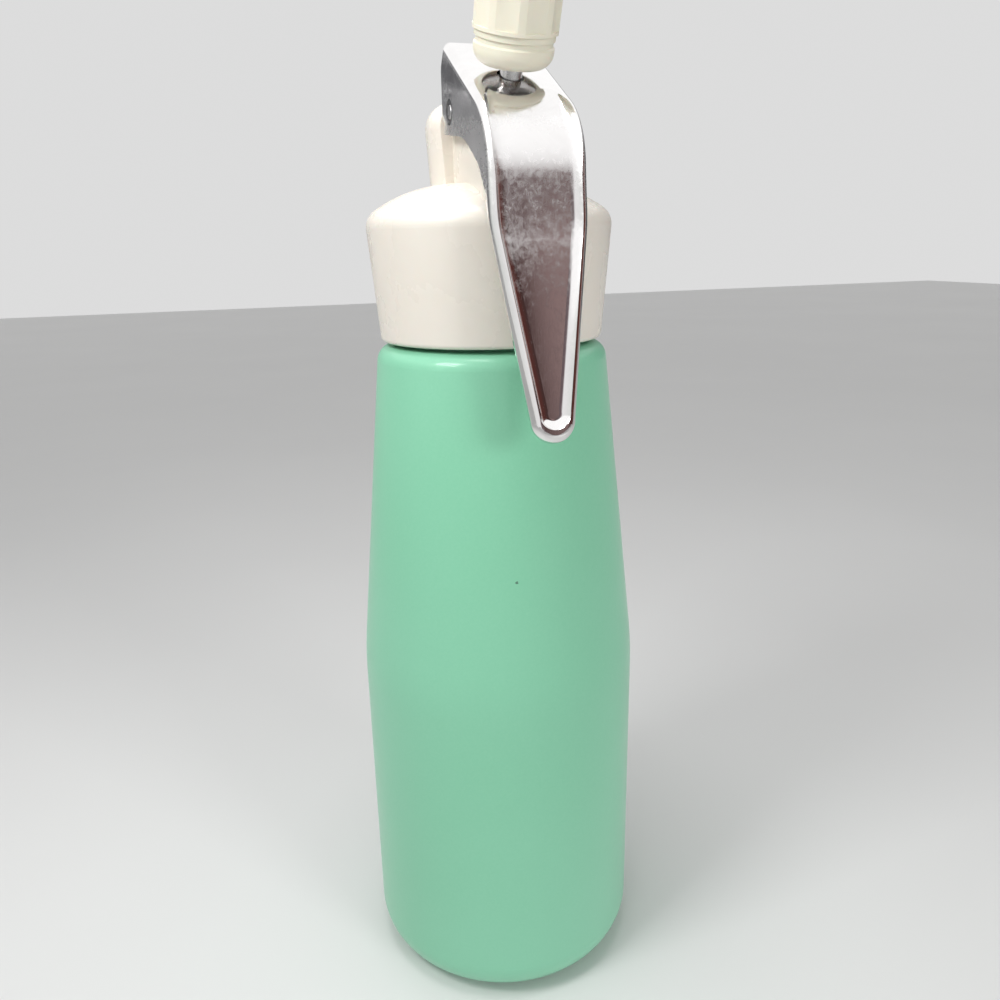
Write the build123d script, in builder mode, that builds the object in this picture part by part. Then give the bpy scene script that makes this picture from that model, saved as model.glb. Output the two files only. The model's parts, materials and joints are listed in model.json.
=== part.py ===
from build123d import *
import math
import os

# Whipped cream dispenser, in millimetres.
# Origin: centre of the base.  +Z runs up the bottle, the lever points to -Y.
# "forward" below is the distance from the bottle's axis towards the lever (-Y).

os.makedirs("parts", exist_ok=True)

# ---- clearances ----
fit_gap = 0.1  # between pieces that are assembled tight
free_gap = 0.3  # between pieces that move past each other
running_gap = 0.06  # between a shaft and its bearing
overrun = 1.0  # how far a cut runs on past the face that it opens

# ---- bottle ----
bottle_radius = 40.2
bottle_wall = 1.6
bottle_height = 188.8  # to the top of the shoulder
base_round = 11.0
foot_radius = 25.0
foot_recess = 2.2
belly_height = 99.0  # where the straight wall turns into the cone
belly_round = 110.0
shoulder_radius = 31.0  # where the cone meets the shoulder
shoulder_round = 4.5
neck_radius = 24.5
neck_height = 14.5
mouth_bead = 0.7

# ---- head ----
skirt_gap = 1.0  # between shoulder and skirt
skirt_bottom_radius = 29.9
skirt_top_radius = 32.5
skirt_height = 31.4
skirt_edge_round = 5.2
skirt_lip_round = 1.2
roof_radius = 15.0  # where the domed roof meets the tower
roof_rise = 7.6
roof_bulge = 1.2
boss_back = 7.0  # place of the round boss behind the bottle's axis
boss_foot_radius = 12.9
boss_radius = 14.6
boss_rise = 20.5  # above the roof
boss_round = 6.5
boss_front = 0.2  # how far the boss reaches forward beside the lever's ears
tower_half_width = 9.1
tower_rise = 20.2  # above the roof
tower_reach = 6.9  # forward of the valve's axis at the plate
tower_round = 1.8
tower_front_round = 3.0
tower_top_round = 5.0

# ---- valve axis: leans forward over the front edge of the tower ----
valve_tilt = 22.0
plate_forward = 20.6  # where the axis goes through the lever's plate
plate_axis_depth = 0.3914286  # and how far below the plate's outer surface it is measured

# ---- lever ----
lever_half_width = 11.7
lever_thickness = 1.9
lever_end = 3.6  # forward place of the plate's far end
lever_shoulder_forward = 18.0  # from the valve's axis to the corner between plate and arm
lever_shoulder_rise = 12.1  # that corner, before it is rounded, above the roof
lever_plate_rise = 20.4  # from the shoulder's corner to the plate's far end
lever_bend_round = 18.0
lever_waist_forward = 1.7  # beyond the shoulder's corner
lever_waist_drop = 19.4  # below the shoulder's corner
lever_waist_round = 110.0
lever_arm_forward = 10.3  # from the waist to the tip
lever_arm_drop = 51.3
lever_tip_half_width = 5.4
lever_taper_drop = 2.5  # below the waist
lever_taper_round = 40.0
lever_edge_round = 2.0
ear_back = 0.7  # forward place of the ears' rear edges
ear_rise = 10.8  # above the pivot
ear_drop = 4.5  # below the pivot
ear_corner_round = 1.5
flange_setback = 0.7  # from the shoulder's corner back to the deep flange's front
flange_depth = 16.9  # from the ear's lower edge to the deep flange's
flange_fall = 2.5  # from the ear's lower edge to the flange's under the valve
flange_reach = 5.5  # from the flange's front back to where its edge turns down
flange_drop = 9.5  # from the ear's lower edge to that turn
flange_round = 24.0
flange_turn_round = 8.0
flange_end_round = 0.6
rim_depth = 2.7  # the arm's turned rim, from front to back
stem_hole_length = 1.0
stem_hole_shift = 0.4
stem_hole_gap = 0.5  # between the stem and the hole's sides
pivot_forward = 7.6
pivot_rise = 4.3  # above the shoulder's corner

# ---- dish pressed into the lever's arm ----
dish_depth = 1.1
dish_rim = 0.6  # from the lever's edge to the wall that the dish's round runs into
dish_round = 3.5  # between the dish's floor and its sides
dish_bend_round = 26.0  # where the dish fades into the plate
dish_lip = 2.4  # from the lever's tip to the dish's lower end
dish_runout = 0.02  # the floor comes out of the sheet by this at the dish's upper end

# ---- pivot pin ----
pin_radius = 1.75
bush_radius = 2.9
bush_flange_radius = 3.6
bush_flange_thickness = 0.5
pin_chamfer = 0.3

# ---- valve ----
stem_radius = 2.6
stem_bore = 1.4
stem_inlet_radius = 1.1
valve_body_radius = 5.3
valve_body_head_radius = 6.6
valve_body_chamfer = 0.4
spring_radius = 3.75
spring_wire = 0.8
spring_turns = 9
collar_radius = 6.0
collar_thickness = 3.0
collar_round = 1.6
disc_radius = 5.6
disc_thickness = 2.2
disc_seal_thickness = 1.2
disc_lip = 0.4  # bare rim of the disc around its rubber face
nut_width = 13.6
nut_thickness = 3.2
washer_thickness = 1.2
washer_margin = 1.0  # bare rim of the insert's boss around the washer
seal_wire = 0.9
seal_groove = 2.0
seal_groove_radius = 4.45

# ---- places along the valve axis, counted up from the plate's top ----
collar_top = -2.6
valve_body_top = -8.0
tower_face = -9.8
valve_body_bottom = -61.0
spring_seat = -29.0
boss_high = -34.0
seal_low = -33.5
boss_low = -54.0
stem_top = 14.0
nozzle_bottom = 2.5

# ---- threaded insert ----
insert_wall = 1.9
insert_top_thickness = 3.0
insert_boss_radius = 8.6
insert_recess = 1.5  # how far the insert's edge stays above the skirt's
gasket_thickness = 1.6

# ---- charger inlet, on an axis that runs back (+Y) ----
port_rise = 8.1  # above the roof
port_radius = 10.0
port_back = 22.0
port_length = 7.5
port_shank_radius = 6.5
port_shank_front = 3.5
charger_neck_radius = 4.6
charger_socket_depth = 6.2
port_chamfer = 0.8
relief_start = 0.2  # from the collar's face to the thread relief
relief_width = 1.2
relief_depth = 0.8
needle_radius = 1.1
needle_reach = 3.2  # how far the needle stands out of the seal
needle_tail = 4.0  # how far the needle runs on past the gas tube
port_seal_thickness = 1.2
gas_tube_back = 11.5  # place of the gas tube behind the axis
gas_tube_radius = 2.6
gas_tube_bore = 1.2
gas_tube_drop = 5.0  # how far the tube reaches below the insert's roof
sleeve_wall = 1.3
sleeve_end = 3.0  # rubber below the tube's end
sleeve_round = 1.2
sleeve_hole_radius = 0.4
holder_radius = 12.8  # room for a charger holder over the roof

# ---- nozzle ----
nozzle_radius = 9.8
nozzle_band_radius = 9.3
nozzle_ring_height = 4.5
nozzle_neck_depth = 0.4
nozzle_neck_height = 6.0
nozzle_band_height = 7.4
nozzle_flute_count = 9
nozzle_flute_depth = 0.55
nozzle_flute_margin = 0.8  # plain wall left below and above the flutes
nozzle_barrel_height = 20.0
nozzle_cone_height = 9.0
nozzle_cone_radius = 7.2  # at the cone's narrow end
nozzle_tip_radius = 6.2
nozzle_tip_height = 15.5
nozzle_wall = 1.5
nozzle_end_round = 3.6
nozzle_shoulder_round = 3.0
nozzle_cone_round = 5.0
nozzle_mouth_round = 1.0
tip_slot_count = 8
tip_slot_width = 1.5
tip_slot_depth = 6.0
adapter_radius = 5.2
adapter_step = 0.8  # how deep the adapter's flange sits inside the nozzle's lower end
adapter_flange = 1.2  # how far the flange stands out
adapter_flange_thickness = 1.5
adapter_setback = 1.0  # how far the stem stands out of the adapter
adapter_seal_thickness = 1.4

# ---- worked out from the sizes above ----
mouth_height = bottle_height + neck_height
skirt_bottom = bottle_height + skirt_gap
skirt_top = skirt_bottom + skirt_height
roof_top = skirt_top + roof_rise
tilt = math.radians(valve_tilt)
axis_up = (0, -math.sin(tilt), math.cos(tilt))
boss_top = roof_top + boss_rise
tower_top = roof_top + tower_rise
tower_front = plate_forward + tower_reach
port_height = roof_top + port_rise
lever_shoulder = plate_forward + lever_shoulder_forward
lever_shoulder_height = roof_top + lever_shoulder_rise
lever_waist = lever_shoulder + lever_waist_forward
lever_waist_height = lever_shoulder_height - lever_waist_drop
lever_end_height = lever_shoulder_height + lever_plate_rise
lever_tip = lever_waist + lever_arm_forward
lever_tip_height = lever_waist_height - lever_arm_drop
lever_taper_height = lever_waist_height - lever_taper_drop
plate_slope = lever_plate_rise / (lever_shoulder - lever_end)
plate_height = lever_shoulder_height + plate_slope * lever_shoulder_forward - plate_axis_depth
pivot_height = lever_shoulder_height + pivot_rise
ear_top = pivot_height + ear_rise
ear_bottom = pivot_height - ear_drop
flange_front = lever_shoulder - flange_setback
flange_bottom = ear_bottom - flange_depth
axis_point = (0, -plate_forward, plate_height)
valve_axis = Axis(axis_point, axis_up)
valve_plane = Plane(origin=axis_point, x_dir=(1, 0, 0), z_dir=axis_up)
# the section plane holds the valve axis as its own upward direction
valve_section = Plane(origin=axis_point, x_dir=(1, 0, 0), z_dir=(0, -math.cos(tilt), -math.sin(tilt)))
port_plane = Plane(origin=(0, 0, port_height), x_dir=(-1, 0, 0), z_dir=(0, 1, 0))
gas_plane = Plane(origin=(0, gas_tube_back, 0))
port_face = port_back - port_length
pivot_plane = Plane(origin=(0, -pivot_forward, pivot_height), x_dir=(0, 1, 0), z_dir=(1, 0, 0))


def rod(plane, start, end, radius, mode=Mode.ADD):
    """A round rod along the plane's normal, between two places on it."""
    with BuildSketch(plane.offset(start)) as section:
        Circle(radius)
    extrude(section.sketch, amount=end - start, mode=mode)


def round_corner(section, corner, radius):
    """Rounds the sketch's corner that lies at the given place."""
    nearest = section.vertices().sort_by(lambda v: math.hypot(v.X - corner[0], v.Y - corner[1]))[0]
    fillet(nearest, radius)


def finish(part, name):
    part.label = name
    export_step(part, "parts/" + name + ".step")


# ---- bottle: a drawn metal shell with a soft bend between its wall and its cone ----
def bottle_form(inset):
    """The bottle's solid shape, set in from the outside by a wall."""
    radius = bottle_radius - inset
    top = bottle_height - inset
    with BuildSketch(Plane.XZ) as section:
        with BuildLine():
            # the base is pressed in, so that the bottle stands on a ring
            TangentArc((0, foot_recess + inset), (foot_radius, inset), tangent=(1, 0))
            Polyline(
                (foot_radius, inset),
                (radius, inset),
                (radius, belly_height),
                (shoulder_radius - inset, top),
                (0, top),
                (0, foot_recess + inset),
            )
        make_face()
        round_corner(section, (radius, inset), base_round - inset)
        round_corner(section, (radius, belly_height), belly_round)
        round_corner(section, (shoulder_radius - inset, top), shoulder_round - inset)
    revolve(section.sketch, axis=Axis.Z)


with BuildPart() as bottle_inside:
    bottle_form(bottle_wall)

with BuildPart() as bottle:
    bottle_form(0)
    rod(Plane.XY, bottle_height - bottle_wall, mouth_height, neck_radius)
    add(bottle_inside.part, mode=Mode.SUBTRACT)
    rod(Plane.XY, bottle_height - 2 * bottle_wall, mouth_height, neck_radius - bottle_wall, Mode.SUBTRACT)
    fillet(bottle.edges().group_by(Axis.Z)[-1], mouth_bead)
finish(bottle.part, "bottle")


# ---- threaded insert: the metal cup that screws on the neck, with an inclined boss for the valve ----
insert_inner = neck_radius + free_gap
insert_outer = insert_inner + insert_wall
insert_bottom = skirt_bottom + insert_recess
gasket_low = mouth_height + free_gap
insert_roof = gasket_low + gasket_thickness
insert_top = insert_roof + insert_top_thickness

with BuildPart() as head_insert:
    rod(Plane.XY, insert_bottom, insert_top, insert_outer)
    rod(Plane.XY, insert_bottom, insert_roof, insert_inner, Mode.SUBTRACT)
    rod(valve_plane, boss_low, boss_high, insert_boss_radius)
    rod(valve_plane, boss_low - overrun, boss_high + overrun, valve_body_radius + fit_gap, Mode.SUBTRACT)
    rod(gas_plane, insert_roof, insert_top, gas_tube_radius + fit_gap, Mode.SUBTRACT)
finish(head_insert.part, "head_insert")

with BuildPart() as head_gasket:
    rod(Plane.XY, gasket_low, insert_roof, neck_radius)
    rod(Plane.XY, gasket_low, insert_roof, neck_radius - 2 * bottle_wall, Mode.SUBTRACT)
finish(head_gasket.part, "head_gasket")

# ---- head cover: a moulded skirt, a domed roof and the tower that carries lever and valve ----
tower_face_forward = plate_forward + tower_face * math.sin(tilt)
tower_face_height = plate_height + tower_face * math.cos(tilt)
# the inclined face meets the tower's flat top and its front
face_rise = (tower_top - tower_face_height) / math.sin(tilt)
face_fall = (tower_front - tower_face_forward) / math.cos(tilt)


def along_tower_face(distance):
    """A place on the tower's inclined face, forward and down from the valve axis."""
    forward = tower_face_forward + distance * math.cos(tilt)
    return (-forward, tower_face_height - distance * math.sin(tilt))


def tower_edge(edge):
    """The long edges round the narrow tower's sides."""
    middle = edge.center()
    on_side = abs(abs(middle.X) - tower_half_width) < 0.01
    return on_side and middle.Z > insert_top + tower_round and middle.Y < boss_back - tower_round


with BuildPart() as head_tower:
    with BuildSketch(Plane.YZ) as tower_side:
        with BuildLine():
            Polyline(
                (boss_back, insert_top),
                (boss_back, tower_top),
                along_tower_face(-face_rise),
                along_tower_face(face_fall),
                (-tower_front, insert_top),
                close=True,
            )
        make_face()
        round_corner(tower_side, along_tower_face(face_fall), tower_front_round)
        round_corner(tower_side, along_tower_face(-face_rise), tower_top_round)
    extrude(amount=tower_half_width, both=True)
    fillet(head_tower.edges().filter_by(lambda e: tower_edge(e)), tower_round)

with BuildPart() as head_boss:
    with Locations((0, boss_back, (skirt_top + boss_top) / 2)):
        Cone(boss_foot_radius, boss_radius, boss_top - skirt_top)
    fillet(head_boss.edges().group_by(Axis.Z)[-1], boss_round)
    split(bisect_by=Plane.XZ.offset(boss_front), keep=Keep.BOTTOM)

with BuildPart() as head_cover:
    with BuildSketch(Plane.XZ) as half_section:
        with BuildLine():
            Polyline(
                (0, roof_top),
                (0, skirt_bottom),
                (skirt_bottom_radius, skirt_bottom),
                (skirt_top_radius, skirt_top),
            )
            SagittaArc((skirt_top_radius, skirt_top), (roof_radius, roof_top), -roof_bulge)
            Line((roof_radius, roof_top), (0, roof_top))
        make_face()
        round_corner(half_section, (skirt_bottom_radius, skirt_bottom), skirt_lip_round)
        round_corner(half_section, (skirt_top_radius, skirt_top), skirt_edge_round)
    revolve(axis=Axis.Z)
    add([head_tower.part, head_boss.part])
    # room for a charger holder behind the inlet
    rod(port_plane, port_face, skirt_top_radius + overrun, holder_radius, Mode.SUBTRACT)
    # seats of the insert, the valve, the inlet, the gas tube and the pin
    rod(Plane.XY, skirt_bottom, insert_top, insert_outer + fit_gap, Mode.SUBTRACT)
    rod(valve_plane, boss_low, boss_high, insert_boss_radius + fit_gap, Mode.SUBTRACT)
    rod(valve_plane, boss_high, 0, valve_body_radius + fit_gap, Mode.SUBTRACT)
    rod(port_plane, port_shank_front, port_face, port_shank_radius + fit_gap, Mode.SUBTRACT)
    rod(gas_plane, insert_top - overrun, port_height, gas_tube_radius + fit_gap, Mode.SUBTRACT)
    rod(pivot_plane, -tower_half_width, tower_half_width, pin_radius + running_gap, Mode.SUBTRACT)
finish(head_cover.part, "head_cover")

# ---- valve: a tube clamped in the insert, a spring-loaded stem with its disc below ----
nut_high = boss_low - washer_thickness
nut_low = nut_high - nut_thickness

with BuildPart() as valve_body:
    rod(valve_plane, valve_body_bottom, tower_face, valve_body_radius)
    rod(valve_plane, tower_face, valve_body_top, valve_body_head_radius)
    chamfer(valve_body.edges().sort_by(lambda e: -Vector(*axis_up).dot(e.center()))[0], valve_body_chamfer)
    rod(valve_plane, spring_seat, valve_body_top, spring_radius + spring_wire / 2 + free_gap, Mode.SUBTRACT)
    rod(valve_plane, valve_body_bottom, spring_seat, stem_radius + running_gap, Mode.SUBTRACT)
    rod(valve_plane, seal_low, seal_low + seal_groove, seal_groove_radius, Mode.SUBTRACT)
finish(valve_body.part, "valve_body")

with BuildPart() as stem_seal:
    with BuildSketch(valve_section) as ring:
        with Locations((seal_groove_radius - seal_wire, seal_low + seal_groove / 2)):
            Circle(seal_wire - running_gap)
    revolve(axis=valve_axis)
finish(stem_seal.part, "stem_seal")

with BuildPart() as valve_washer:
    rod(valve_plane, nut_high, boss_low, insert_boss_radius - washer_margin)
    rod(valve_plane, nut_high, boss_low, valve_body_radius + fit_gap, Mode.SUBTRACT)
finish(valve_washer.part, "valve_washer")

with BuildPart() as valve_nut:
    with BuildSketch(valve_plane.offset(nut_low)):
        RegularPolygon(nut_width / 2, 6, major_radius=False)
        Circle(valve_body_radius + fit_gap, mode=Mode.SUBTRACT)
    extrude(amount=nut_thickness)
finish(valve_nut.part, "valve_nut")

seal_top = valve_body_bottom - free_gap
disc_top = seal_top - disc_seal_thickness
disc_bottom = disc_top - disc_thickness
bore_low = seal_top + 2 * stem_inlet_radius

with BuildPart() as valve_stem:
    rod(valve_plane, disc_bottom, stem_top, stem_radius)
    rod(valve_plane, bore_low, stem_top, stem_bore, Mode.SUBTRACT)
    # cream enters through two cross holes that open when the disc leaves its seat
    inlet_plane = Plane(origin=valve_plane.offset(bore_low).origin, x_dir=axis_up, z_dir=(1, 0, 0))
    rod(inlet_plane, -stem_radius, stem_radius, stem_inlet_radius, Mode.SUBTRACT)
finish(valve_stem.part, "valve_stem")

with BuildPart() as valve_disc:
    rod(valve_plane, disc_bottom, disc_top, disc_radius)
    rod(valve_plane, disc_bottom, disc_top, stem_radius + fit_gap, Mode.SUBTRACT)
finish(valve_disc.part, "valve_disc")

with BuildPart() as valve_seal:
    rod(valve_plane, disc_top, seal_top, disc_radius - disc_lip)
    rod(valve_plane, disc_top, seal_top, stem_radius + fit_gap, Mode.SUBTRACT)
finish(valve_seal.part, "valve_seal")

with BuildPart() as stem_collar:
    rod(valve_plane, collar_top - collar_thickness, collar_top, collar_radius)
    fillet(stem_collar.edges().sort_by(lambda e: -Vector(*axis_up).dot(e.center()))[0], collar_round)
    rod(valve_plane, collar_top - collar_thickness, collar_top, stem_radius + fit_gap, Mode.SUBTRACT)
finish(stem_collar.part, "stem_collar")

# the spring stands on its seat in the valve's tube and lifts the collar
spring_low = spring_seat + spring_wire / 2 + fit_gap
spring_high = collar_top - collar_thickness - spring_wire / 2 - fit_gap
with BuildPart() as valve_spring:
    with BuildLine() as coil:
        Helix(
            pitch=(spring_high - spring_low) / spring_turns,
            height=spring_high - spring_low,
            radius=spring_radius,
            center=valve_plane.offset(spring_low).origin,
            direction=axis_up,
        )
    with BuildSketch(Plane(origin=coil.line @ 0, z_dir=coil.line % 0)):
        Circle(spring_wire / 2)
    sweep(path=coil.line, is_frenet=True)
finish(valve_spring.part, "valve_spring")

# ---- lever: pressed sheet steel, a sloping plate, a rounded shoulder and a tapering arm ----
past_end = 8.0  # the outlines run on behind the lever's ends, where they are cut away
arm_slope = lever_arm_forward / lever_arm_drop
tip_centre = lever_tip_height + lever_tip_half_width
taper = (lever_half_width - lever_tip_half_width) / (lever_taper_height - tip_centre)


def waist_room(sunk, bend_round):
    """The largest round that fits at the waist on the straight stretch that a bend leaves above it."""
    drop = lever_waist_drop + plate_slope * sunk
    shoulder_angle = math.atan(lever_waist_forward / drop)
    bend_turn = math.pi / 2 - math.atan(plate_slope) - shoulder_angle
    stretch = math.hypot(lever_waist_forward, drop) - bend_round * math.tan(bend_turn / 2)
    return 0.98 * stretch / math.tan(abs(math.atan(arm_slope) - shoulder_angle) / 2)


dish_sunk = dish_depth + dish_runout
waist_round = min(
    lever_waist_round,
    waist_room(0, lever_bend_round),
    waist_room(dish_sunk, dish_bend_round),
)


def lever_side(inset, sunk=0, bend_round=lever_bend_round):
    """Side view of everything under the lever's outer surface, its arm pushed back for the dish."""
    bend = (sunk - lever_shoulder, lever_shoulder_height + plate_slope * sunk)
    waist = (sunk - lever_waist, lever_waist_height)
    with BuildSketch(Plane.YZ) as side:
        with BuildLine():
            Polyline(
                (past_end - lever_end, lever_end_height + plate_slope * past_end),
                bend,
                waist,
                (sunk - lever_tip, lever_tip_height),
                (past_end - lever_tip, lever_tip_height - past_end),
                (past_end - lever_end, lever_tip_height - past_end),
                close=True,
            )
        make_face()
        if inset > 0:
            offset(amount=-inset, kind=Kind.INTERSECTION)
        round_corner(side, bend, bend_round - inset)
        round_corner(side, waist, waist_round + inset)
    return side.sketch


def lever_front(inset, lift=0):
    """Front view of the lever: parallel at the plate, tapering to a round tip."""
    wide = lever_half_width - inset
    narrow = lever_tip_half_width - inset
    top = lever_end_height + past_end
    low = tip_centre + lift
    with BuildSketch(Plane.XZ) as front:
        with BuildLine():
            Polyline((-narrow, low), (-wide, lever_taper_height), (-wide, top))
            Polyline((wide, top), (wide, lever_taper_height), (narrow, low))
            Line((-wide, top), (wide, top))
            ThreePointArc((narrow, low), (0, low - narrow), (-narrow, low))
        make_face()
        round_corner(front, (-wide, lever_taper_height), lever_taper_round)
        round_corner(front, (wide, lever_taper_height), lever_taper_round)
    return front.sketch


def dish_form(inset):
    """What the dish takes away in front of its floor, set in by the sheet's thickness."""
    behind = lever_side(inset, dish_sunk, dish_bend_round)
    behind = behind.moved(Location((0, -dish_runout, 0)))
    with BuildPart() as form:
        extrude(lever_front(dish_rim, dish_lip), amount=2 * lever_tip)
        extrude(behind, amount=lever_half_width, both=True, mode=Mode.SUBTRACT)
        # the floor turns into the sides and the lip with a round, but not at the open upper end
        floor = form.faces().filter_by(lambda face: face.normal_at().Y > 0.01)
        sides = form.faces().filter_by(lambda face: abs(face.normal_at().Y) < 0.001)
        sides = sides.filter_by(lambda face: face.normal_at().Z < 0.5)
        corners = sides.edges().filter_by(lambda edge: edge in floor.edges())
        fillet(corners, dish_round)
    return form.part


def lever_outer_edge(edge):
    """The long edges between the lever's outer surface and its walls."""
    middle = edge.center()
    on_edge = abs(middle.X) > lever_thickness and edge.length > lever_thickness
    return on_edge and middle.Z > lever_tip_height and middle.Y < -lever_end


with BuildPart() as lever_inside:
    extrude(lever_side(lever_thickness), amount=lever_half_width, both=True)
    extrude(lever_front(lever_thickness), amount=2 * lever_tip, both=True, mode=Mode.INTERSECT)
    # the sheet keeps its thickness behind the dish
    add(dish_form(lever_thickness), mode=Mode.SUBTRACT)

with BuildPart() as lever:
    extrude(lever_side(0), amount=lever_half_width, both=True)
    extrude(lever_front(0), amount=2 * lever_tip, both=True, mode=Mode.INTERSECT)
    fillet(lever.edges().filter_by(lambda e: lever_outer_edge(e)), lever_edge_round)
    # rear edge of the ears, then the lower edge of ears and flanges, then the arm's narrow rim
    with BuildSketch(Plane.YZ) as wall_side:
        with BuildLine():
            Polyline(
                (-lever_end, lever_end_height + past_end),
                (-lever_end, lever_end_height - lever_thickness),
                (-ear_back, ear_top),
                (-ear_back, pivot_height),
                (-ear_back - ear_corner_round, ear_bottom),
                (-plate_forward, ear_bottom - flange_fall),
                (flange_reach - flange_front, ear_bottom - flange_drop),
                (-flange_front, flange_bottom),
                (rim_depth - lever_waist, lever_waist_height),
                (rim_depth - lever_tip, lever_tip_height),
                (-lever_tip, lever_tip_height - past_end),
                (-lever_tip - past_end, lever_end_height + past_end),
                close=True,
            )
        make_face()
        round_corner(wall_side, (-ear_back, ear_top), 2 * ear_corner_round)
        round_corner(wall_side, (-ear_back - ear_corner_round, ear_bottom), ear_corner_round)
        round_corner(wall_side, (-plate_forward, ear_bottom - flange_fall), flange_round)
        round_corner(wall_side, (flange_reach - flange_front, ear_bottom - flange_drop), flange_turn_round)
        round_corner(wall_side, (-flange_front, flange_bottom), flange_end_round)
    extrude(amount=lever_half_width + overrun, both=True, mode=Mode.INTERSECT)
    add(lever_inside.part, mode=Mode.SUBTRACT)
    add(dish_form(0), mode=Mode.SUBTRACT)
    # hole for the stem, long enough for the lever's swing
    with BuildSketch(valve_plane.offset(collar_top - collar_thickness)) as stem_hole:
        with Locations((0, stem_hole_shift)):
            SlotCenterToCenter(stem_hole_length, 2 * (stem_radius + stem_hole_gap), rotation=90)
    extrude(amount=2 * collar_radius, mode=Mode.SUBTRACT)
    rod(pivot_plane, -lever_half_width, lever_half_width, bush_radius + fit_gap, Mode.SUBTRACT)
finish(lever.part, "lever")

# ---- pivot: a pin fixed in the tower's bore runs in a flanged bush in each ear ----
ear_inner = lever_half_width - lever_thickness

with BuildPart() as lever_pin:
    rod(pivot_plane, -lever_half_width, lever_half_width, pin_radius)
    chamfer(lever_pin.edges().filter_by(GeomType.CIRCLE), pin_chamfer)
finish(lever_pin.part, "lever_pin")

with BuildPart() as lever_bushes:
    for side in (-1, 1):
        rod(pivot_plane, side * ear_inner, side * (lever_half_width - fit_gap), bush_radius)
        rod(pivot_plane, side * (ear_inner - bush_flange_thickness), side * ear_inner, bush_flange_radius)
    rod(pivot_plane, -lever_half_width, lever_half_width, pin_radius + running_gap, Mode.SUBTRACT)
finish(lever_bushes.part, "lever_bushes")

# ---- charger inlet: spigot, needle, seal, gas tube and the valve sleeve on its end ----
seal_face = port_back - charger_socket_depth
seal_back = seal_face - port_seal_thickness
needle_tip = seal_face + needle_reach
needle_front = gas_tube_back - needle_tail

with BuildPart() as charger_port:
    rod(port_plane, port_shank_front, port_face, port_shank_radius)
    rod(port_plane, port_face, port_back, port_radius)
    chamfer(charger_port.edges().group_by(Axis.Y)[-1], port_chamfer)
    rod(port_plane, seal_back, port_back, charger_neck_radius, Mode.SUBTRACT)
    rod(port_plane, needle_front, port_back, needle_radius + fit_gap, Mode.SUBTRACT)
    # the gas tube comes up from below
    rod(gas_plane, port_height - port_radius, port_height, gas_tube_radius + fit_gap, Mode.SUBTRACT)
    # thread relief behind the collar
    with BuildSketch(port_plane.offset(port_face + relief_start)):
        Circle(port_radius + overrun)
        Circle(port_radius - relief_depth, mode=Mode.SUBTRACT)
    extrude(amount=relief_width, mode=Mode.SUBTRACT)
finish(charger_port.part, "charger_port")

with BuildPart() as charger_seal:
    rod(port_plane, seal_back, seal_face, charger_neck_radius - fit_gap)
    rod(port_plane, seal_back, seal_face, needle_radius + fit_gap, Mode.SUBTRACT)
finish(charger_seal.part, "charger_seal")

gas_tube_top = port_height - needle_radius - free_gap
gas_tube_bottom = insert_roof - gas_tube_drop
sleeve_bottom = gas_tube_bottom - sleeve_end
with BuildPart() as piercing_pin:
    rod(port_plane, needle_front, needle_tip, needle_radius)
    chamfer(piercing_pin.edges().group_by(Axis.Y)[-1], needle_radius * 0.75, needle_radius * 0.6)
finish(piercing_pin.part, "piercing_pin")

with BuildPart() as gas_tube:
    rod(gas_plane, gas_tube_bottom, gas_tube_top, gas_tube_radius)
    rod(gas_plane, gas_tube_bottom, gas_tube_top, gas_tube_bore, Mode.SUBTRACT)
finish(gas_tube.part, "gas_tube")

with BuildPart() as check_valve:
    rod(gas_plane, sleeve_bottom, insert_roof, gas_tube_radius + sleeve_wall)
    fillet(check_valve.edges().group_by(Axis.Z)[0], sleeve_round)
    rod(gas_plane, gas_tube_bottom, insert_roof, gas_tube_radius + fit_gap, Mode.SUBTRACT)
    rod(gas_plane, sleeve_bottom, insert_roof, sleeve_hole_radius, Mode.SUBTRACT)
finish(check_valve.part, "check_valve")

# ---- nozzle: a metal adapter on the stem carries the fluted plastic nozzle and its seal ----
adapter_low = nozzle_bottom + adapter_step
adapter_high = stem_top - adapter_setback
flange_high = adapter_low + adapter_flange_thickness
seal_high = adapter_high + adapter_seal_thickness
barrel_low = nozzle_bottom + nozzle_band_height
barrel_high = barrel_low + nozzle_barrel_height
cone_high = barrel_high + nozzle_cone_height
tip_high = cone_high + nozzle_tip_height

with BuildPart() as nozzle_adapter:
    rod(valve_plane, adapter_low, adapter_high, adapter_radius)
    rod(valve_plane, adapter_low, flange_high, adapter_radius + adapter_flange)
    rod(valve_plane, adapter_low, adapter_high, stem_radius + fit_gap, Mode.SUBTRACT)
finish(nozzle_adapter.part, "nozzle_adapter")

with BuildPart() as nozzle_seal:
    rod(valve_plane, adapter_high + fit_gap, seal_high, adapter_radius)
    rod(valve_plane, adapter_high, seal_high, stem_radius + fit_gap, Mode.SUBTRACT)
finish(nozzle_seal.part, "nozzle_seal")

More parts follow.
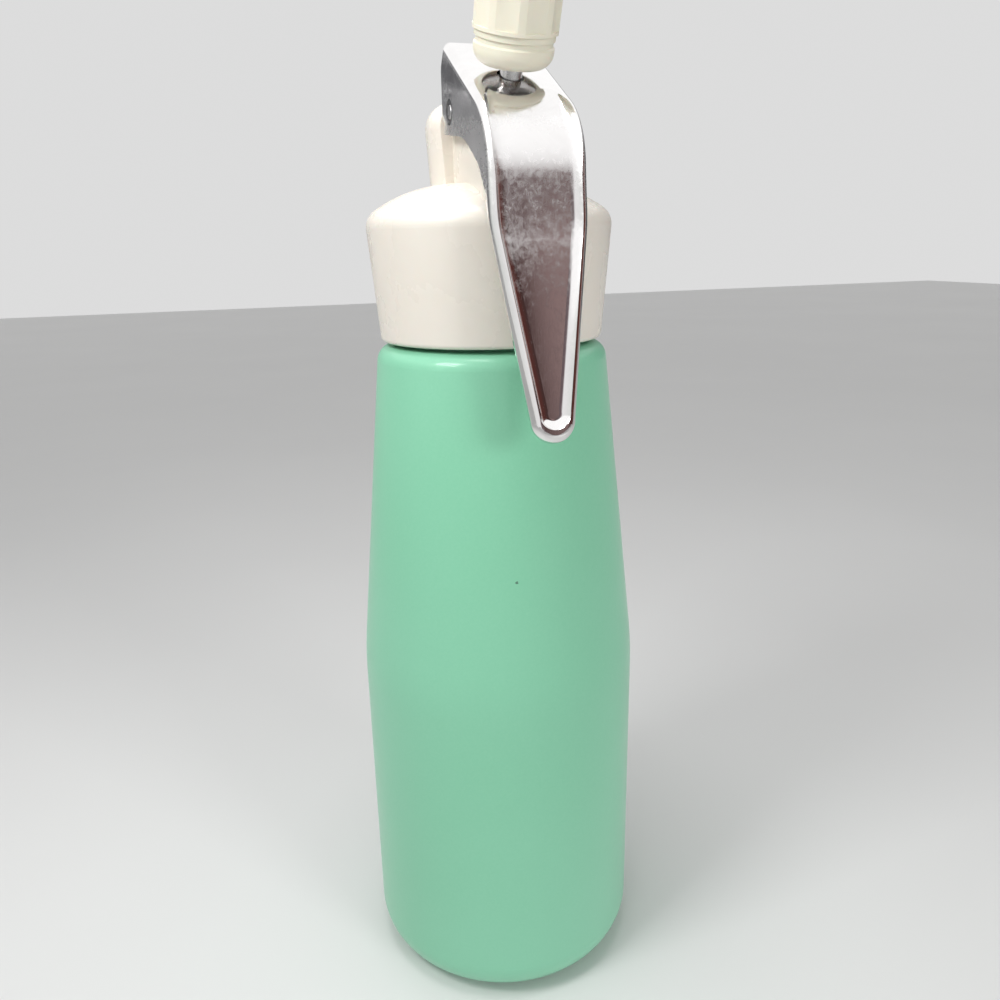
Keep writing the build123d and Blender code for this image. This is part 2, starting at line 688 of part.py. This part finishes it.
with BuildPart() as nozzle:
    neck_low = nozzle_bottom + nozzle_ring_height
    neck_high = nozzle_bottom + nozzle_neck_height
    neck_inner = nozzle_band_radius - nozzle_neck_depth
    with BuildSketch(valve_section) as half_section:
        with BuildLine():
            Polyline(
                (0, nozzle_bottom),
                (nozzle_band_radius, nozzle_bottom),
                (nozzle_band_radius, neck_low),
                (neck_inner, neck_low + nozzle_neck_depth),
                (neck_inner, neck_high),
                (nozzle_band_radius, neck_high),
                (nozzle_band_radius, barrel_low),
                (nozzle_radius, barrel_low),
                (nozzle_radius, barrel_high),
                (nozzle_cone_radius, cone_high),
                (nozzle_tip_radius, tip_high),
                (0, tip_high),
                (0, nozzle_bottom),
            )
        make_face()
        round_corner(half_section, (nozzle_band_radius, nozzle_bottom), nozzle_end_round)
        round_corner(half_section, (nozzle_radius, barrel_high), nozzle_shoulder_round)
        round_corner(half_section, (nozzle_cone_radius, cone_high), nozzle_cone_round)
        round_corner(half_section, (nozzle_tip_radius, tip_high), nozzle_mouth_round)
    revolve(axis=valve_axis)
    # wide shallow flutes leave narrow ridges between them
    flute_radius = 1.5 * nozzle_radius
    with BuildSketch(valve_plane.offset(barrel_low + nozzle_flute_margin)):
        with PolarLocations(nozzle_radius - nozzle_flute_depth + flute_radius, nozzle_flute_count):
            Circle(flute_radius)
    extrude(amount=nozzle_barrel_height - 2 * nozzle_flute_margin, mode=Mode.SUBTRACT)
    # the inside: a socket for the adapter, then a bore that narrows to the tip
    socket = adapter_radius + fit_gap
    tip_bore = nozzle_tip_radius - nozzle_wall
    with BuildSketch(valve_section) as bore_section:
        with BuildLine():
            Polyline(
                (0, nozzle_bottom - overrun),
                (socket + adapter_flange, nozzle_bottom - overrun),
                (socket + adapter_flange, flange_high + fit_gap),
                (socket, flange_high + fit_gap),
                (socket, seal_high),
                (socket - nozzle_wall, seal_high),
                (tip_bore, cone_high),
                (tip_bore, tip_high + overrun),
                (0, tip_high + overrun),
                (0, nozzle_bottom - overrun),
            )
        make_face()
    revolve(axis=valve_axis, mode=Mode.SUBTRACT)
    # star of slots that gives the cream its ridges
    with BuildSketch(valve_plane.offset(tip_high - tip_slot_depth)):
        with PolarLocations(nozzle_tip_radius, tip_slot_count):
            Rectangle(2 * nozzle_tip_radius - tip_bore, tip_slot_width)
    extrude(amount=tip_slot_depth + overrun, mode=Mode.SUBTRACT)
finish(nozzle.part, "nozzle")
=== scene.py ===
import json
import math

import bpy
from mathutils import Matrix, Vector


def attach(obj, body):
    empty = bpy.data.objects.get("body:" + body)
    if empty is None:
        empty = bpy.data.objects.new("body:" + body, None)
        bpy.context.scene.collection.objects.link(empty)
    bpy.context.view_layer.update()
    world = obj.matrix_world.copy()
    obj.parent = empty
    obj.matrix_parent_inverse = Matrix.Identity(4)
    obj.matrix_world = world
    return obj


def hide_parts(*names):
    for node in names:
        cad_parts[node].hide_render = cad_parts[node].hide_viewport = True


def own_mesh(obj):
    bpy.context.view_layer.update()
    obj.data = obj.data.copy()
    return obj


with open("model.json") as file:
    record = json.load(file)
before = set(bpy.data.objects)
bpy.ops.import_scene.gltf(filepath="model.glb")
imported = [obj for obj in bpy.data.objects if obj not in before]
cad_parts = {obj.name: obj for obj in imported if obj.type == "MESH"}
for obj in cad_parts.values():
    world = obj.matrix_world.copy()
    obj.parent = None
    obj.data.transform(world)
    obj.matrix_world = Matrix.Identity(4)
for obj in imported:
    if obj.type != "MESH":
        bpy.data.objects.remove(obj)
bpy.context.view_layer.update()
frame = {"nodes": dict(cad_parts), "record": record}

# Whipped cream dispenser: finishes, spring, studio and camera.  Metres, in the CAD model's frame.

MM = 0.001
FULL_TURN = 2 * math.pi


# ------------------------------------------------------------------ camera
CAMERA_PLACE = Vector((-67.13, -224.5, 215.06)) * MM
CAMERA_AZIMUTH = math.radians(-17.0)
CAMERA_PITCH = math.radians(-17.16)
CAMERA_ROLL = math.radians(1.21)
CAMERA_LENS = 30.24
SENSOR_WIDTH = 36.0
CAMERA_NEAREST = 0.01


def add_camera():
    data = bpy.data.cameras.new("camera")
    data.lens = CAMERA_LENS
    data.sensor_width = SENSOR_WIDTH
    data.clip_start = CAMERA_NEAREST
    camera = bpy.data.objects.new("camera", data)
    turn = Matrix.Rotation(CAMERA_AZIMUTH, 4, "Z")
    tip = Matrix.Rotation(math.pi / 2 + CAMERA_PITCH, 4, "X")
    roll = Matrix.Rotation(-CAMERA_ROLL, 4, "Z")
    camera.matrix_world = Matrix.Translation(CAMERA_PLACE) @ turn @ tip @ roll
    bpy.context.scene.collection.objects.link(camera)
    bpy.context.scene.camera = camera


# ------------------------------------------------------------------ node helpers
NOISE_LOW = 0.3  # most of a noise's values lie between these two
NOISE_HIGH = 0.7


class Nodes:
    """Short calls for the nodes of one node tree.  place is the coordinates that its noises use."""

    def __init__(self, tree, coordinates):
        self.tree = tree
        self.place = self.node("ShaderNodeTexCoord").outputs[coordinates]

    def node(self, kind, **settings):
        made = self.tree.nodes.new(kind)
        for key, value in settings.items():
            setattr(made, key, value)
        return made

    def link(self, output, target):
        self.tree.links.new(output, target)

    def split(self):
        """The three coordinates of the place."""
        made = self.node("ShaderNodeSeparateXYZ")
        self.link(self.place, made.inputs["Vector"])
        return made.outputs

    def stretched(self, scale):
        """The place, scaled differently along each axis."""
        mapping = self.node("ShaderNodeMapping")
        mapping.inputs["Scale"].default_value = scale
        self.link(self.place, mapping.inputs["Vector"])
        return mapping.outputs["Vector"]

    def noise(self, scale, detail=2.0, roughness=0.5, place=None, distortion=0.0):
        made = self.node("ShaderNodeTexNoise")
        made.inputs["Scale"].default_value = scale
        made.inputs["Detail"].default_value = detail
        made.inputs["Roughness"].default_value = roughness
        made.inputs["Distortion"].default_value = distortion
        self.link(place or self.place, made.inputs["Vector"])
        return made.outputs["Fac"]

    def ramp(self, factor, *stops):
        """A colour ramp: stops are (position, colour)."""
        made = self.node("ShaderNodeValToRGB")
        elements = made.color_ramp.elements
        while len(elements) < len(stops):
            elements.new(0.5)
        for element, (position, colour) in zip(elements, stops):
            element.position = position
            element.color = tuple(colour) + (1.0,)
        self.link(factor, made.inputs["Fac"])
        return made.outputs["Color"]

    def grey_ramp(self, factor, *stops):
        """A ramp between shares: stops are (position, share)."""
        return self.ramp(factor, *[(position, (share, share, share)) for position, share in stops])

    def span(self, factor, low, high, start=0.0, end=1.0):
        """Maps a factor from start..end to low..high."""
        made = self.node("ShaderNodeMapRange")
        made.inputs["From Min"].default_value = start
        made.inputs["From Max"].default_value = end
        made.inputs["To Min"].default_value = low
        made.inputs["To Max"].default_value = high
        self.link(factor, made.inputs["Value"])
        return made.outputs["Result"]

    def between(self, noise, low, high):
        """A noise as a value from low to high."""
        return self.span(noise, low, high, NOISE_LOW, NOISE_HIGH)

    def tones(self, noise, low, high):
        """A noise as a colour from low to high."""
        return self.ramp(noise, (NOISE_LOW, low), (NOISE_HIGH, high))

    def math(self, operation, first, second=None):
        made = self.node("ShaderNodeMath", operation=operation)
        for socket, value in zip(made.inputs, (first, second)):
            if value is None:
                continue
            if isinstance(value, (int, float)):
                socket.default_value = value
            else:
                self.link(value, socket)
        return made.outputs["Value"]

    def mix(self, factor, first, second, blend="MIX"):
        """Colours mixed: a Mix node's sockets 0, 6 and 7 are its factor and its two colours."""
        made = self.node("ShaderNodeMix", data_type="RGBA", blend_type=blend)
        self.link(factor, made.inputs[0])
        for socket, value in ((made.inputs[6], first), (made.inputs[7], second)):
            if isinstance(value, tuple):
                socket.default_value = value + (1.0,)
            else:
                self.link(value, socket)
        return made.outputs[2]


class Shader(Nodes):
    """A material with short calls for what the finishes share."""

    def __init__(self, name):
        self.material = bpy.data.materials.new(name)
        self.material.use_nodes = True
        super().__init__(self.material.node_tree, "Object")
        self.bsdf = self.tree.nodes["Principled BSDF"]

    def set(self, **values):
        for key, value in values.items():
            self.bsdf.inputs[key.replace("_", " ")].default_value = value

    def colour(self, output):
        self.link(output, self.bsdf.inputs["Base Color"])

    def rough(self, output):
        self.link(output, self.bsdf.inputs["Roughness"])

    def normal(self, output):
        self.link(output, self.bsdf.inputs["Normal"])

    def bump(self, height, distance, strength=1.0, after=None):
        made = self.node("ShaderNodeBump")
        made.inputs["Strength"].default_value = strength
        made.inputs["Distance"].default_value = distance
        self.link(height, made.inputs["Height"])
        if after is not None:
            self.link(after, made.inputs["Normal"])
        return made.outputs["Normal"]

    def near(self, point, radius):
        """1 at the point, falling to 0 at the radius."""
        made = self.node("ShaderNodeVectorMath", operation="DISTANCE")
        made.inputs[1].default_value = point
        self.link(self.place, made.inputs[0])
        return self.span(made.outputs["Value"], 1.0, 0.0, 0.0, radius)

    def thread(self, along, first, second, sizes):
        """A screw thread's bump about an axis.  first and second are the places across it."""
        turn = self.math("DIVIDE", self.math("ARCTAN2", first, second), FULL_TURN)
        phase = self.math("ADD", self.math("DIVIDE", along, sizes["pitch"]), turn)
        wave = self.math("SINE", self.math("MULTIPLY", phase, FULL_TURN))
        square = self.math("ADD", self.math("POWER", first, 2.0), self.math("POWER", second, 2.0))
        outside = self.math("GREATER_THAN", self.math("SQRT", square), sizes["radius"])
        start, end = sizes["start"], sizes["end"]
        starting = self.span(along, 0, 1, start, start + THREAD_RUNOUT)
        ending = self.span(along, 1, 0, end - THREAD_RUNOUT, end)
        within = self.math("MULTIPLY", starting, ending)
        height = self.math("MULTIPLY", self.math("MULTIPLY", wave, outside), within)
        return self.bump(height, sizes["depth"])


# ------------------------------------------------------------------ materials
CHIP_PLACE = (-0.0056, -0.0364, 0.1318)  # the one small chip in the enamel
CHIP_RADIUS = 0.7 * MM
CHIP_EDGE = 0.95
THREAD_RUNOUT = 0.3 * MM
# radius is a little inside the thread's, so that only the threaded wall takes the bump
NECK_THREAD = {"start": 0.1915, "end": 0.2018, "radius": 0.0240, "pitch": 0.0030, "depth": 0.0009}
INLET_THREAD = {"start": 0.0159, "end": 0.0212, "radius": 0.0096, "pitch": 0.0013, "depth": 0.0006}
INLET_HEIGHT = 0.2369
# the hazy band on the lever: from here up to here, ragged by this much either way
BAND_LOW = 0.200
BAND_HIGH = 0.246
BAND_RAGGED = 0.004
BAND_HAZE = 0.24


def enamel():
    """Mint enamel under a thin gloss, with fine specks, one chip and the neck's thread."""
    s = Shader("mint_enamel")
    mint = s.tones(s.noise(9, 3), (0.235, 0.585, 0.385), (0.265, 0.615, 0.425))
    specks = s.span(s.noise(1400, 2, 0.6), 0.0, 0.10, 0.35, 0.75)
    mint = s.mix(specks, mint, (0.36, 0.70, 0.52))
    chip = s.math("ADD", s.near(CHIP_PLACE, CHIP_RADIUS), s.noise(2600, 2, 0.6))
    s.colour(s.mix(s.math("GREATER_THAN", chip, CHIP_EDGE), mint, (0.10, 0.22, 0.15)))
    s.rough(s.between(s.noise(40, 4, 0.6), 0.30, 0.40))
    x, y, z = s.split()
    screw = s.thread(z, x, y, NECK_THREAD)
    peel = s.bump(s.noise(420), 0.06 * MM, 0.5, screw)
    s.normal(s.bump(s.noise(2600, 1), 0.02 * MM, 0.35, peel))
    s.set(Specular_IOR_Level=0.15, Coat_Weight=0.30, Coat_Roughness=0.10, Coat_IOR=1.5)
    return s.material


def head_plastic():
    """Glossy off-white plastic with a faint moulded grain."""
    s = Shader("off_white_plastic")
    s.colour(s.tones(s.noise(25, 3), (0.76, 0.71, 0.63), (0.80, 0.755, 0.68)))
    s.rough(s.between(s.noise(70, 4, 0.6), 0.22, 0.33))
    s.normal(s.bump(s.noise(900), 0.03 * MM, 0.35))
    s.set(Subsurface_Weight=0.06, Subsurface_Scale=2 * MM, IOR=1.5)
    return s.material


def nozzle_plastic():
    """Ivory plastic, a little duller than the head."""
    s = Shader("ivory_plastic")
    s.colour(s.tones(s.noise(60, 3), (0.80, 0.765, 0.62), (0.84, 0.805, 0.67)))
    s.rough(s.between(s.noise(160, 4, 0.6), 0.30, 0.42))
    s.normal(s.bump(s.noise(1400), 0.03 * MM, 0.4))
    s.set(Subsurface_Weight=0.12, Subsurface_Scale=2 * MM, IOR=1.48)
    return s.material


def hazy_band(s, mottle):
    """Extra roughness where the lever bends into its arm, with a ragged edge."""
    height = s.split()[2]
    ragged = s.math("ADD", height, s.between(mottle, -BAND_RAGGED, BAND_RAGGED))
    share = s.span(ragged, 0.0, 1.0, BAND_LOW, BAND_HIGH)
    band = s.grey_ramp(share, (0.0, 0.0), (0.45, 0.35), (0.72, 1.0), (0.84, 1.0), (0.98, 0.0))
    return s.math("MULTIPLY", band, BAND_HAZE)


def polished_steel():
    """Polished sheet: a sharp mirror with smears and fine streaks, and a hazy band below the bend."""
    s = Shader("polished_steel")
    smear = s.noise(55, 5, 0.65, distortion=1.2)
    s.colour(s.ramp(smear, (0.25, (0.76, 0.745, 0.74)), (0.75, (0.85, 0.84, 0.835))))
    mottle = s.noise(700, 4, 0.65, distortion=0.6)
    haze = s.span(s.math("MULTIPLY", smear, mottle), 0.04, 0.13, 0.18, 0.38)
    hair = s.noise(1, 3, 0.6, s.stretched((3200, 3200, 160)))
    streaks = s.span(hair, 0.0, 0.08, 0.5, 0.8)
    s.rough(s.math("ADD", hazy_band(s, mottle), s.math("ADD", haze, streaks)))
    wavy = s.bump(s.noise(40, 1), 0.08 * MM, 0.15)
    s.normal(s.bump(hair, 0.004 * MM, 0.3, wavy))
    s.set(Metallic=1.0)
    return s.material


def turned_metal(name, low, high, rough):
    """Machined metal with fine turning marks and small colour changes."""
    s = Shader(name)
    marks = s.noise(1, 3, 0.6, s.stretched((900, 900, 5200)))
    cloud = s.noise(120, 4, 0.6)
    s.colour(s.mix(s.between(marks, 0.0, 1.0), s.tones(cloud, low, high), high))
    s.rough(s.between(cloud, rough - 0.07, rough + 0.08))
    s.normal(s.bump(marks, 0.02 * MM, 0.4))
    s.set(Metallic=1.0)
    return s.material


ALUMINIUM_DARK = (0.66, 0.67, 0.68)
ALUMINIUM_LIGHT = (0.78, 0.79, 0.80)


def inlet_metal():
    """The charger inlet: machined aluminium with the thread for a charger holder."""
    s = Shader("threaded_aluminium")
    cloud = s.noise(120, 4, 0.6)
    s.colour(s.tones(cloud, ALUMINIUM_DARK, ALUMINIUM_LIGHT))
    s.rough(s.between(cloud, 0.22, 0.36))
    x, y, z = s.split()
    screw = s.thread(y, x, s.math("SUBTRACT", z, INLET_HEIGHT), INLET_THREAD)
    marks = s.noise(1, 3, 0.6, s.stretched((5200, 900, 900)))
    s.normal(s.bump(marks, 0.02 * MM, 0.4, screw))
    s.set(Metallic=1.0)
    return s.material


def silicone():
    """Matt grey food-grade silicone."""
    s = Shader("silicone")
    cloud = s.noise(200, 3)
    s.colour(s.tones(cloud, (0.52, 0.54, 0.54), (0.60, 0.62, 0.62)))
    s.rough(s.between(cloud, 0.5, 0.65))
    s.normal(s.bump(s.noise(2500), 0.03 * MM, 0.5))
    s.set(Subsurface_Weight=0.15, Subsurface_Scale=1 * MM)
    return s.material


def bush_plastic():
    """Black acetal."""
    s = Shader("black_acetal")
    cloud = s.noise(220, 3)
    s.colour(s.tones(cloud, (0.035, 0.035, 0.037), (0.05, 0.05, 0.052)))
    s.rough(s.between(cloud, 0.40, 0.52))
    s.normal(s.bump(s.noise(1800), 0.02 * MM, 0.4))
    return s.material


def floor_material():
    """A pale matt floor."""
    s = Shader("pale_floor")
    cloud = s.noise(3, 3)
    s.colour(s.tones(cloud, (0.72, 0.72, 0.715), (0.76, 0.76, 0.755)))
    s.rough(s.between(cloud, 0.55, 0.65))
    return s.material


SLOT_FINISH = {
    "enamel": enamel(),
    "head_plastic": head_plastic(),
    "nozzle_plastic": nozzle_plastic(),
    "polished_steel": polished_steel(),
    "machined_aluminium": turned_metal("machined_aluminium", ALUMINIUM_DARK, ALUMINIUM_LIGHT, 0.30),
    "steel": turned_metal("turned_steel", (0.48, 0.475, 0.47), (0.60, 0.595, 0.59), 0.26),
    "spring_steel": turned_metal("spring_wire", (0.40, 0.40, 0.41), (0.50, 0.50, 0.51), 0.34),
    "silicone": silicone(),
    "bush_plastic": bush_plastic(),
}
OWN_FINISH = {"charger_port": inlet_metal()}


def dress_cad_nodes():
    """Gives every CAD node its own finish, or that of its slot."""
    for part in frame["record"]["subparts"]:
        finish = OWN_FINISH.get(part["node"], SLOT_FINISH[part["material_slot"]])
        node = frame["nodes"][part["node"]]
        node.data.materials.clear()
        node.data.materials.append(finish)


def add_spring():
    """The valve spring as its own copy of the CAD coil, carried by the head."""
    node = frame["nodes"]["valve_spring"]
    coil = bpy.data.objects.new("spring_coil", node.data.copy())
    coil.matrix_world = node.matrix_world
    bpy.context.scene.collection.objects.link(coil)
    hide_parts("valve_spring")
    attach(coil, "head")
    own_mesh(coil)


# ------------------------------------------------------------------ studio
def add_area_light(name, place, target, size, power, mirrored=True):
    """A soft light.  One that isn't mirrored leaves no bright patch in the polished metal."""
    data = bpy.data.lights.new(name, "AREA")
    data.shape = "RECTANGLE"
    data.size, data.size_y = size
    data.energy = power
    light = bpy.data.objects.new(name, data)
    light.location = place
    light.visible_glossy = mirrored
    light.rotation_euler = (Vector(target) - Vector(place)).to_track_quat("-Z", "Y").to_euler()
    bpy.context.scene.collection.objects.link(light)


LIGHTS = [
    {
        "name": "key",
        "place": (-0.24, -0.11, 0.42),
        "target": (0, 0, 0.20),
        "size": (0.12, 0.12),
        "power": 0.85,
    },
    {
        "name": "top",
        "place": (-0.05, -0.04, 0.66),
        "target": (0, 0, 0.25),
        "size": (0.20, 0.20),
        "power": 1.10,
    },
    {
        "name": "front_right",
        "place": (0.45, -0.90, 0.40),
        "target": (0, 0, 0.16),
        "size": (0.30, 0.30),
        "power": 3.2,
        "mirrored": False,
    },
]


class Sky(Nodes):
    """The studio's surroundings, as polished metal mirrors them."""

    def __init__(self):
        world = bpy.data.worlds.new("studio")
        bpy.context.scene.world = world
        world.use_nodes = True
        super().__init__(world.node_tree, "Generated")
        self.background = self.tree.nodes["Background"]
        self.x, self.y, self.z = self.split()

    def bearing(self):
        """0 towards -Y (the lever's side), positive towards +X; as a share from 0 at -180 degrees."""
        angle = self.math("ARCTAN2", self.x, self.math("MULTIPLY", self.y, -1.0))
        return self.span(angle, 0.0, 1.0, -math.pi, math.pi)


SKY_WHITE = (1.2, 1.2, 1.2)
BACKDROP = (0.72, 0.72, 0.72)  # what the camera sees behind the object
DIFFUSE_STRENGTH = 0.34  # matt surfaces are lit less than what polished metal mirrors
ROOM_BACK = (0.13, 0.13, 0.137)
ROOM_GREY = (0.07, 0.07, 0.072)
ROOM_MAUVE = (0.15, 0.115, 0.12)
ROOM_BROWN = (0.062, 0.034, 0.032)
ROOM_ROSE = (0.30, 0.205, 0.20)
ROOM_RED = (0.10, 0.035, 0.03)
ROOM_STRIPE = (0.85, 0.52, 0.46)
WINDOW_LEFT = (0.8, 0.82, 0.8)
WINDOW_RIGHT = (0.95, 0.94, 0.95)
WINDOW_EDGE = (0.16, 0.11, 0.12)
SIDE_GREY = (0.30, 0.29, 0.29)

# the room's colours round the object, by bearing in degrees
ROOM = [
    (-180, ROOM_BACK),
    (-120, ROOM_BACK),
    (-85, WINDOW_LEFT),
    (-6, WINDOW_RIGHT),
    (4, WINDOW_EDGE),
    (17.5, ROOM_MAUVE),
    (19.2, ROOM_BROWN),
    (20.2, ROOM_BROWN),
    (21.4, ROOM_ROSE),
    (23.5, ROOM_ROSE),
    (27, ROOM_BROWN),
    (55, ROOM_RED),
    (77, ROOM_RED),
    (80, ROOM_STRIPE),
    (82, ROOM_RED),
    (85, SIDE_GREY),
    (110, ROOM_GREY),
    (150, ROOM_GREY),
    (180, ROOM_BACK),
]

# the ceiling starts between these heights of the unit direction, with a ragged edge
CEILING_LOW = math.sin(math.radians(21.9)) + 0.015
CEILING_HIGH = math.sin(math.radians(23.4)) + 0.015
CEILING_RAGGED = 0.03


def streaked_room(sky):
    """The room, with light streaks behind the object that the lever's ear mirrors."""
    room = sky.ramp(sky.bearing(), *[((degrees + 180) / 360, colour) for degrees, colour in ROOM])
    lines = sky.noise(34, 3, distortion=1.6)
    streaks = sky.grey_ramp(lines, (0.0, 0.0), (0.5, 0.0), (0.55, 0.9), (0.60, 0.0))
    behind = sky.span(sky.y, 0.0, 1.0, 0.55, 0.75)
    return sky.mix(behind, room, streaks, "ADD")


def add_world():
    """A white ceiling over a dark room that has one bright window at the front on the left."""
    sky = Sky()
    ragged = sky.math("MULTIPLY", sky.noise(60, 4, distortion=1.0), CEILING_RAGGED)
    ceiling = sky.span(sky.math("ADD", ragged, sky.z), 0.0, 1.0, CEILING_LOW, CEILING_HIGH)
    colour = sky.mix(ceiling, streaked_room(sky), SKY_WHITE)
    path = sky.node("ShaderNodeLightPath").outputs
    colour = sky.mix(path["Is Camera Ray"], colour, BACKDROP)
    sky.link(colour, sky.background.inputs["Color"])
    strength = sky.span(path["Is Diffuse Ray"], 1.0, DIFFUSE_STRENGTH)
    sky.link(strength, sky.background.inputs["Strength"])


FLOOR_HALF = 3.0
FLOOR_DROP = 0.2 * MM  # keeps the floor clear of the bottle's foot


def add_floor():
    half = FLOOR_HALF
    corners = [(-half, -half, 0), (half, -half, 0), (half, half, 0), (-half, half, 0)]
    mesh = bpy.data.meshes.new("floor")
    mesh.from_pydata(corners, [], [(0, 1, 2, 3)])
    floor = bpy.data.objects.new("floor", mesh)
    floor.location.z = -FLOOR_DROP
    floor.data.materials.append(floor_material())
    bpy.context.scene.collection.objects.link(floor)


add_camera()
dress_cad_nodes()
add_spring()
add_world()
add_floor()
for light in LIGHTS:
    add_area_light(**light)
bpy.context.scene.view_settings.view_transform = "Standard"
